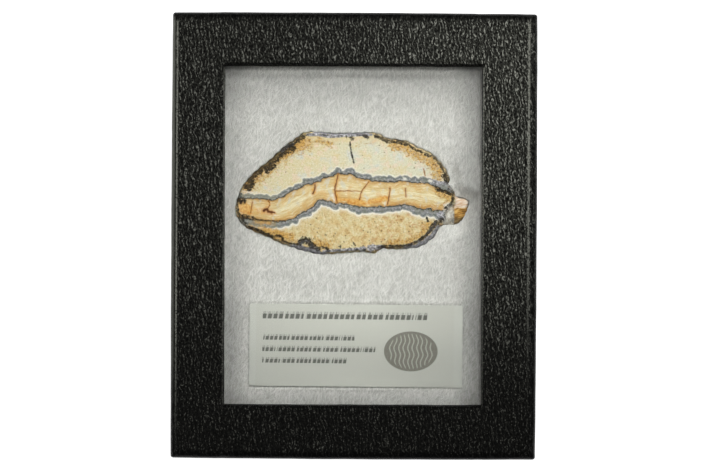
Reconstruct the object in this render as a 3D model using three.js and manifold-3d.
// A polished slice of mammoth molar in a glass-topped display case, in millimetres.
// The case lies on its back: +Z is up through the glass, +X runs to the slice's
// right-hand end and +Y towards its upper edge. The origin is the middle of the base.

import * as THREE from "three";
import { mergeVertices } from "three/addons/utils/BufferGeometryUtils.js";
import Module from "manifold-3d";

const wasm = await Module();
wasm.setup();

// ---- Driving dimensions of the case -----------------------------------------

const CASE = { width: 114.3, length: 139.7, height: 19.05 };
const BOARD = 1.6; // thickness of every wall of paper-covered board
const GAP = 0.3; // clearance between pieces that touch
const BORDER = 17.0; // width of the lid's border round the window
const LIP = 1.5; // height at which the lid's skirts end, above the base
const EDGE_ROUND = 2.0; // roll of the lid's upper edge
const WINDOW_SLOPE = 0.6; // how far the paper turned in round the window slopes in
const WINDOW_ROUND = 0.3; // eased edge of that slope
const CORNER_RADIUS = 1.2; // upright corners of the lid
const WINDOW_CORNER = 0.6;
const INNER_CORNER = 0.4;
const BOW = 0.3; // how far each side draws in between its corners
const GLASS = 2.0; // thickness of the pane
const FIT = 0.6; // play between the tray and the lid's skirts, on each side
const PANE_MARGIN = 0.6; // play between the pane and the skirts, on each side

const PANE_TOP = CASE.height - BOARD - GAP;
const PANE_BOTTOM = PANE_TOP - GLASS;
const RIM_TOP = PANE_BOTTOM - GAP;
const TRAY = {
  width: CASE.width - 2 * (BOARD + FIT),
  length: CASE.length - 2 * (BOARD + FIT),
};

// ---- Driving dimensions of the contents --------------------------------------

const PAD_MARGIN = 0.5; // play between the batting and the tray's walls
const PAD_TOP = 14.05; // mean height of the batting
const PAD_FLOOR = BOARD + GAP;
const PAD_WAVE = 0.3; // how far the batting's top rises and falls
const PAD_DIP = 0.9; // how far it sinks beside the slice
const PAD_DIP_WIDTH = 4.0;
const PAD_CELLS = [30, 36];

const LABEL = { width: 66.9, length: 25.8, thickness: 0.25, x: 0.76, y: -34.45 };
const LABEL_TURN_DEG = -0.3;
const LABEL_UNDERSIDE = PAD_TOP + GAP + 0.15;

const FACE_TOP = RIM_TOP; // height of the slice's polished face
const SLICE_THICKNESS = 8.0;
const SLICE_TURN_DEG = 0.3; // the slice lies turned by this much in the case
const RIM_BEVEL = 0.22; // eased edge of the polished face
const SLICE_MIDDLE = [-2.5, 13.5];
const RIM_SAMPLES = 216;
const POCKET_SAMPLES = 72;
const POCKET_MARGIN = 0.6;

// Furrows of the enamel that run down the tooth's sides.
const FURROW = { pitch: 2.7, depth: 0.16 };

// The rim of the polished face, anticlockwise from its left-hand end, measured
// from the middle of the case.
const LOWER_RIM = [
  [-36.8, 9.0], [-36.6, 7.0], [-35.9, 5.4], [-34.0, 3.4], [-31.0, 1.8], [-27.0, 0.2],
  [-23.0, -1.7], [-20.0, -2.7], [-16.0, -3.2], [-13.0, -3.9], [-10.5, -4.9], [-8.0, -5.1],
  [-4.0, -4.8], [1.0, -4.5], [3.5, -4.4], [5.0, -4.8], [6.7, -4.8], [8.5, -3.5],
  [12.0, -3.6], [16.0, -3.5], [18.0, -3.1], [20.0, -2.3], [22.0, -0.9], [24.2, 0.9],
  [25.8, 3.0], [28.2, 4.4],
];
const RIGHT_END = [
  [28.8, 6.0], [28.7, 7.4], [30.2, 9.2], [31.2, 10.4], [31.5, 11.8], [31.0, 13.8],
  [29.6, 15.4], [28.8, 16.1], [29.6, 17.0], [29.4, 18.4], [28.2, 21.0],
];
const UPPER_RIM = [
  [25.5, 24.2], [23.5, 25.9], [19.5, 27.6], [16.5, 29.4], [12.5, 29.9], [10.5, 30.2],
  [7.5, 31.6], [5.0, 32.1], [0.0, 31.9], [-6.0, 31.7], [-11.0, 32.2], [-15.5, 32.0],
  [-18.0, 30.3], [-21.0, 28.2], [-23.8, 25.8], [-26.5, 23.2], [-30.0, 20.6],
  [-32.4, 18.2], [-34.6, 15.4], [-35.8, 12.6],
];

// Where the side stands out beyond the face as it goes down: place, width, reach.
const SIDE_FLARES = [
  { x: 23.5, y: -1.2, width: 5.0, reach: 1.5 },
  { x: -14.5, y: -4.0, width: 4.2, reach: 1.4 },
];
const SIDE_SPREAD = 0.45; // how far the rest of the side stands out

// Sections of the slice from its base up: depth below the face, share of the flare.
const SIDE_SECTIONS = [
  { depth: SLICE_THICKNESS, flare: 0.2, inset: 0.5 },
  { depth: SLICE_THICKNESS - 0.9, flare: 0.9, inset: 0 },
  { depth: 4.2, flare: 1.0, inset: 0 },
  { depth: 2.0, flare: 0.95, inset: 0 },
  { depth: 0.9, flare: 0.7, inset: 0 },
  { depth: 0.2, flare: 0.0, inset: 0 },
  { depth: 0, flare: 0.0, inset: RIM_BEVEL },
];

// The lower step at the slice's right-hand end, and the crumbled ledge beside it.
const STEP_OUTLINE = [
  [26.5, 5.0], [28.5, 4.0], [30.5, 3.8], [32.2, 3.9], [33.4, 4.7], [34.4, 5.9], [35.1, 7.6],
  [35.7, 9.2], [36.1, 10.6], [35.4, 11.4], [33.0, 12.1], [30.5, 12.4], [27.5, 11.2],
];
const STEP = { top: 2.5, crown: 0.5, samples: 48, pitch: 1.4, depth: 0.14 };
const LEDGE_OUTLINE = [
  [26.0, 4.0], [28.2, 3.6], [29.8, 4.1], [31.0, 5.4], [31.5, 7.2], [31.3, 8.8], [29.6, 9.8],
  [27.0, 9.4],
];
const LEDGE = { top: 1.3, crown: 0.5, samples: 36, pitch: 1.9, depth: 0.2 };

// ---- Finishes ------------------------------------------------------------------

const FINISHES = {
  leatherette: { color: 0x2a2b28, roughness: 0.45, metalness: 0 },
  glass: { color: 0xdfe5e2, roughness: 0.05, metalness: 0, transparent: true, opacity: 0.3 },
  fibre: { color: 0xcdcec6, roughness: 1.0, metalness: 0 },
  card: { color: 0xb3b6ad, roughness: 0.6, metalness: 0 },
  tooth: { color: 0xd9cdae, roughness: 0.3, metalness: 0 },
};

/** A mesh for one piece, with a material of its own. */
function piece(name, geometry, finish) {
  const mesh = new THREE.Mesh(geometry, new THREE.MeshStandardMaterial(FINISHES[finish]));
  mesh.name = name;
  geometry.computeVertexNormals();
  return mesh;
}

// ---- Rings and lofts -------------------------------------------------------------

const CORNER_STEPS = 4;
const SIDE_STEPS = 4;
const CORNERS = [
  { x: 1, y: -1, start: -90 },
  { x: 1, y: 1, start: 0 },
  { x: -1, y: 1, start: 90 },
  { x: -1, y: -1, start: 180 },
];

/** One round corner of a rectangle, as points in order. */
function cornerPoints({ x, y, start }, width, length, radius) {
  const points = [];
  for (let step = 0; step <= CORNER_STEPS; step += 1) {
    const angle = THREE.MathUtils.degToRad(start + (90 * step) / CORNER_STEPS);
    points.push([
      x * (width / 2 - radius) + radius * Math.cos(angle),
      y * (length / 2 - radius) + radius * Math.sin(angle),
    ]);
  }
  return points;
}

/** Points along one side, from a corner's end to the next one, drawn in by bow. */
function sidePoints(from, to, bow) {
  const along = [to[0] - from[0], to[1] - from[1]];
  const span = Math.hypot(along[0], along[1]);
  const inward = [-along[1] / span, along[0] / span];
  const points = [];
  for (let step = 1; step < SIDE_STEPS; step += 1) {
    const share = step / SIDE_STEPS;
    const drawn = bow * (1 - (2 * share - 1) ** 2);
    points.push([
      from[0] + share * along[0] + drawn * inward[0],
      from[1] + share * along[1] + drawn * inward[1],
    ]);
  }
  return points;
}

/** An anticlockwise ring round a rectangle with round corners, at one height. */
function rectangleRing({ width, length, radius, bow = 0, z }) {
  const corners = CORNERS.map((corner) => cornerPoints(corner, width, length, radius));
  const ring = [];
  corners.forEach((points, index) => {
    const next = corners[(index + 1) % corners.length];
    ring.push(...points, ...sidePoints(points[points.length - 1], next[0], bow));
  });
  return ring.map(([x, y]) => [x, y, z]);
}

/** Triangles between two rings of equal counts. */
function bandTriangles(lower, upper, count) {
  const index = [];
  for (let here = 0; here < count; here += 1) {
    const next = (here + 1) % count;
    index.push(lower + here, lower + next, upper + next);
    index.push(lower + here, upper + next, upper + here);
  }
  return index;
}

/** Triangles that close a ring, facing up or down. */
function capTriangles(ring, first, up) {
  const contour = ring.map(([x, y]) => new THREE.Vector2(x, y));
  const faces = THREE.ShapeUtils.triangulateShape(contour, []);
  const turned = faces.map(([a, b, c]) => (up ? [a, b, c] : [a, c, b]));
  return turned.flat().map((corner) => first + corner);
}

/** A geometry from vertices given as triples and a flat list of corners. */
function indexed(vertices, index) {
  const geometry = new THREE.BufferGeometry();
  geometry.setAttribute("position", new THREE.Float32BufferAttribute(vertices.flat(), 3));
  geometry.setIndex(index);
  return geometry;
}

/** A closed skin through rings in order: a loop, or a stack capped at both ends. */
function loft(rings, loop = false) {
  const count = rings[0].length;
  const bands = loop ? rings.length : rings.length - 1;
  const index = [];
  for (let band = 0; band < bands; band += 1) {
    index.push(...bandTriangles(band * count, ((band + 1) % rings.length) * count, count));
  }
  if (!loop) {
    index.push(...capTriangles(rings[0], 0, false));
    index.push(...capTriangles(rings[rings.length - 1], (rings.length - 1) * count, true));
  }
  return indexed(rings.flat(), index);
}

// ---- Solids that are cut or joined -----------------------------------------------

/** The solid inside a closed geometry. */
function solidOf(geometry) {
  const bare = new THREE.BufferGeometry();
  bare.setAttribute("position", geometry.getAttribute("position"));
  bare.setIndex(geometry.getIndex());
  const merged = mergeVertices(bare, 1e-5);
  return new wasm.Manifold(
    new wasm.Mesh({
      numProp: 3,
      vertProperties: new Float32Array(merged.getAttribute("position").array),
      triVerts: new Uint32Array(merged.getIndex().array),
    }),
  );
}

/** A geometry of a solid's surface. */
function geometryOf(solid) {
  const mesh = solid.getMesh();
  const geometry = new THREE.BufferGeometry();
  geometry.setAttribute("position", new THREE.BufferAttribute(mesh.vertProperties, 3));
  geometry.setIndex(new THREE.BufferAttribute(mesh.triVerts, 1));
  return geometry;
}

// ---- Case --------------------------------------------------------------------------

/** A ring of the lid at an inset from its outline. */
function lidRing(inset, z, radius) {
  return rectangleRing({
    width: CASE.width - 2 * inset,
    length: CASE.length - 2 * inset,
    radius,
    bow: inset < BORDER / 2 ? BOW : 0,
    z,
  });
}

/** The quarter roll of an edge, as rings from its foot to its crown. */
function rolledEdge(round, foot, ringAt) {
  const steps = 4;
  const rings = [];
  for (let step = 1; step <= steps; step += 1) {
    const angle = (Math.PI / 2) * (step / steps);
    rings.push(ringAt(round * (1 - Math.cos(angle)), foot + round * Math.sin(angle)));
  }
  return rings;
}

/** The lid: a face board with a window, and four skirts. */
function makeLid() {
  const underside = CASE.height - BOARD;
  const slopeTop = BORDER - WINDOW_SLOPE;
  const outerEdge = rolledEdge(EDGE_ROUND, CASE.height - EDGE_ROUND, (inset, z) =>
    lidRing(inset, z, Math.max(CORNER_RADIUS - inset, INNER_CORNER)),
  );
  const rings = [
    lidRing(BOARD / 4, LIP, CORNER_RADIUS - BOARD / 4),
    lidRing(0, LIP + BOARD / 4, CORNER_RADIUS),
    lidRing(0, CASE.height - EDGE_ROUND, CORNER_RADIUS),
    ...outerEdge,
    lidRing(slopeTop - WINDOW_ROUND, CASE.height, WINDOW_CORNER),
    lidRing(slopeTop, CASE.height - WINDOW_ROUND, WINDOW_CORNER),
    lidRing(BORDER, underside, WINDOW_CORNER),
    lidRing(BOARD, underside, INNER_CORNER),
    lidRing(BOARD, LIP, INNER_CORNER),
  ];
  return piece("lid", loft(rings, true), "leatherette");
}

/** The pane that lies under the lid's face board. */
function makePane() {
  const size = {
    width: CASE.width - 2 * (BOARD + PANE_MARGIN) - 2 * BOW,
    length: CASE.length - 2 * (BOARD + PANE_MARGIN) - 2 * BOW,
    radius: INNER_CORNER,
  };
  const rings = [rectangleRing({ ...size, z: 0 }), rectangleRing({ ...size, z: GLASS })];
  const pane = piece("glass_pane", loft(rings), "glass");
  pane.position.z = PANE_BOTTOM;
  return pane;
}

/** The tray: a floor and four walls, open towards the glass. */
function makeTray() {
  const inner = { width: TRAY.width - 2 * BOARD, length: TRAY.length - 2 * BOARD };
  const ease = BOARD / 4;
  const foot = { width: TRAY.width - 2 * ease, length: TRAY.length - 2 * ease };
  const rings = [
    rectangleRing({ ...foot, radius: CORNER_RADIUS - ease, z: 0 }),
    rectangleRing({ ...TRAY, radius: CORNER_RADIUS, z: ease }),
    rectangleRing({ ...TRAY, radius: CORNER_RADIUS, z: RIM_TOP }),
    rectangleRing({ ...inner, radius: INNER_CORNER, z: RIM_TOP }),
    rectangleRing({ ...inner, radius: INNER_CORNER, z: BOARD }),
  ];
  return piece("tray", loft(rings), "leatherette");
}

/** The printed card above the batting. */
function makeLabel() {
  const size = { width: LABEL.width, length: LABEL.length, radius: INNER_CORNER };
  const rings = [
    rectangleRing({ ...size, z: 0 }),
    rectangleRing({ ...size, z: LABEL.thickness }),
  ];
  const label = piece("label", loft(rings), "card");
  label.position.set(LABEL.x, LABEL.y, LABEL_UNDERSIDE);
  label.rotation.z = THREE.MathUtils.degToRad(LABEL_TURN_DEG);
  return label;
}

// ---- Slice ---------------------------------------------------------------------------

/** Evenly spaced points of a smooth closed curve through an outline. */
function smoothOutline(points, samples) {
  const vectors = points.map(([x, y]) => new THREE.Vector3(x, y, 0));
  const curve = new THREE.CatmullRomCurve3(vectors, true, "centripetal");
  curve.arcLengthDivisions = samples * 8;
  return curve.getSpacedPoints(samples).slice(0, samples);
}

/** The outward direction at each point of an anticlockwise outline. */
function outwardNormals(points, reach = 2) {
  const count = points.length;
  return points.map((_, index) => {
    const before = points[(index + count - reach) % count];
    const after = points[(index + reach) % count];
    const along = after.clone().sub(before).normalize();
    return new THREE.Vector3(along.y, -along.x, 0);
  });
}

/** A furrowed skin's offset at one point of an outline. */
function furrowAt(index, spacing, { pitch, depth }) {
  const wander = 0.35 * Math.sin(index * 0.21) + 0.25 * Math.sin(index * 0.083 + 1);
  return depth * Math.cos((2 * Math.PI * index * spacing) / pitch + 3 * wander);
}

/** How far the tooth's side stands out beyond the face at one point of the rim. */
function flareAt(point) {
  return SIDE_FLARES.reduce((sum, { x, y, width, reach }) => {
    const distance = Math.hypot(point.x - x, point.y - y) / width;
    return sum + (reach - SIDE_SPREAD) * Math.exp(-(distance ** 4));
  }, SIDE_SPREAD);
}

/** One section of a furrowed body, moved out along its normals. */
function section(points, normals, outAt, z) {
  return points.map((point, index) => {
    const moved = point.clone().addScaledVector(normals[index], outAt(point, index));
    return [moved.x, moved.y, z];
  });
}

/** The main body: its polished face is at height 0 and its base below it. */
function mainBody() {
  const points = smoothOutline([...LOWER_RIM, ...RIGHT_END, ...UPPER_RIM], RIM_SAMPLES);
  const normals = outwardNormals(points);
  const spacing = points[0].distanceTo(points[1]);
  const rings = SIDE_SECTIONS.map(({ depth, flare, inset }) =>
    section(
      points,
      normals,
      (point, index) => flare * flareAt(point) - inset + furrowAt(index, spacing, FURROW),
      -depth,
    ),
  );
  return loft(rings);
}

/** A low furrowed body with a crowned top, from the base up to a depth below the face. */
function lowBody(outline, { top, crown, samples, pitch, depth }) {
  const points = smoothOutline(outline, samples);
  const normals = outwardNormals(points, 1);
  const spacing = points[0].distanceTo(points[1]);
  const furrow = (_, index) => furrowAt(index, spacing, { pitch, depth });
  const rings = [
    { out: -0.3, z: -SLICE_THICKNESS },
    { out: 0.2, z: -SLICE_THICKNESS + 0.9 },
    { out: 0, z: -top - crown },
    { out: -crown, z: -top - crown * 0.3 },
    { out: -1.7 * crown, z: -top },
  ].map(({ out, z }) => section(points, normals, (...at) => out + furrow(...at), z));
  return loft(rings);
}

/** The fossil: one natural body with its step and ledge. */
function makeSlice() {
  const solid = solidOf(mainBody())
    .add(solidOf(lowBody(STEP_OUTLINE, STEP)))
    .add(solidOf(lowBody(LEDGE_OUTLINE, LEDGE)));
  const slice = piece("molar_slice", geometryOf(solid), "tooth");
  slice.position.z = FACE_TOP;
  slice.rotation.z = THREE.MathUtils.degToRad(SLICE_TURN_DEG);
  slice.updateMatrixWorld();
  return slice;
}

// ---- Batting ----------------------------------------------------------------------------

/** How far a mesh reaches from the slice's middle, in each of a ring of directions. */
function reachOf(mesh) {
  const reach = new Array(POCKET_SAMPLES).fill(0);
  const place = mesh.geometry.getAttribute("position");
  const vertex = new THREE.Vector3();
  for (let index = 0; index < place.count; index += 1) {
    vertex.fromBufferAttribute(place, index).applyMatrix4(mesh.matrixWorld);
    const x = vertex.x - SLICE_MIDDLE[0];
    const y = vertex.y - SLICE_MIDDLE[1];
    const turn = (Math.atan2(y, x) / (2 * Math.PI) + 1) % 1;
    const slot = Math.floor(turn * POCKET_SAMPLES);
    reach[slot] = Math.max(reach[slot], Math.hypot(x, y));
  }
  return reach.map((_, slot) => {
    const before = (slot + POCKET_SAMPLES - 1) % POCKET_SAMPLES;
    return Math.max(reach[before], reach[slot]) + POCKET_MARGIN;
  });
}

/** The pocket's wall at one height, round the slice. */
function pocketRing(reach, z) {
  return reach.map((radius, slot) => {
    const angle = (2 * Math.PI * slot) / POCKET_SAMPLES;
    return [
      SLICE_MIDDLE[0] + radius * Math.cos(angle),
      SLICE_MIDDLE[1] + radius * Math.sin(angle),
      z,
    ];
  });
}

/** Height of the batting's top at one place. */
function paddingHeight(x, y, reach) {
  const wave = Math.sin(x * 0.11 + 0.6) * Math.cos(y * 0.09) + 0.6 * Math.sin(x * 0.07 - y * 0.13);
  const dx = x - SLICE_MIDDLE[0];
  const dy = y - SLICE_MIDDLE[1];
  const turn = (Math.atan2(dy, dx) / (2 * Math.PI) + 1) % 1;
  const edge = reach[Math.floor(turn * POCKET_SAMPLES)];
  const beyond = Math.max(Math.hypot(dx, dy) - edge, 0) / PAD_DIP_WIDTH;
  return PAD_TOP + (PAD_WAVE / 2) * (wave / 1.6) - PAD_DIP * Math.exp(-(beyond ** 2));
}

/** The corners of the pad's outline in order, as places in its grid of vertices. */
function borderOf(columns, rows) {
  const at = (column, row) => row * (columns + 1) + column;
  const border = [];
  for (let column = 0; column < columns; column += 1) border.push(at(column, 0));
  for (let row = 0; row < rows; row += 1) border.push(at(columns, row));
  for (let column = columns; column > 0; column -= 1) border.push(at(column, rows));
  for (let row = rows; row > 0; row -= 1) border.push(at(0, row));
  return border;
}

/** A block of batting with an uneven top and no pocket. */
function padBlock(reach) {
  const [columns, rows] = PAD_CELLS;
  const width = TRAY.width - 2 * (BOARD + PAD_MARGIN);
  const length = TRAY.length - 2 * (BOARD + PAD_MARGIN);
  const vertices = [];
  const index = [];
  for (let row = 0; row <= rows; row += 1) {
    for (let column = 0; column <= columns; column += 1) {
      const x = (column / columns - 0.5) * width;
      const y = (row / rows - 0.5) * length;
      vertices.push([x, y, paddingHeight(x, y, reach)]);
    }
  }
  for (let row = 0; row < rows; row += 1) {
    for (let column = 0; column < columns; column += 1) {
      const here = row * (columns + 1) + column;
      const above = here + columns + 1;
      index.push(here, here + 1, above + 1, here, above + 1, above);
    }
  }
  const border = borderOf(columns, rows);
  const foot = vertices.length;
  border.forEach((corner) => vertices.push([vertices[corner][0], vertices[corner][1], PAD_FLOOR]));
  const middle = vertices.length;
  vertices.push([0, 0, PAD_FLOOR]);
  border.forEach((corner, place) => {
    const next = (place + 1) % border.length;
    index.push(foot + place, foot + next, border[next]);
    index.push(foot + place, border[next], corner);
    index.push(foot + next, foot + place, middle);
  });
  return indexed(vertices, index);
}

/** The batting: a block that fills the tray, with a pocket for the slice. */
function makeBatting(slice) {
  const reach = reachOf(slice);
  const floor = FACE_TOP - SLICE_THICKNESS - GAP;
  const pocket = loft([pocketRing(reach, floor), pocketRing(reach, CASE.height)]);
  const solid = solidOf(padBlock(reach)).subtract(solidOf(pocket));
  return piece("batting", geometryOf(solid), "fibre");
}

// ---- The whole object ---------------------------------------------------------------------

const slice = makeSlice();
const group = new THREE.Group();
group.add(makeLid(), makePane(), makeTray(), makeBatting(slice), makeLabel(), slice);

export default group;
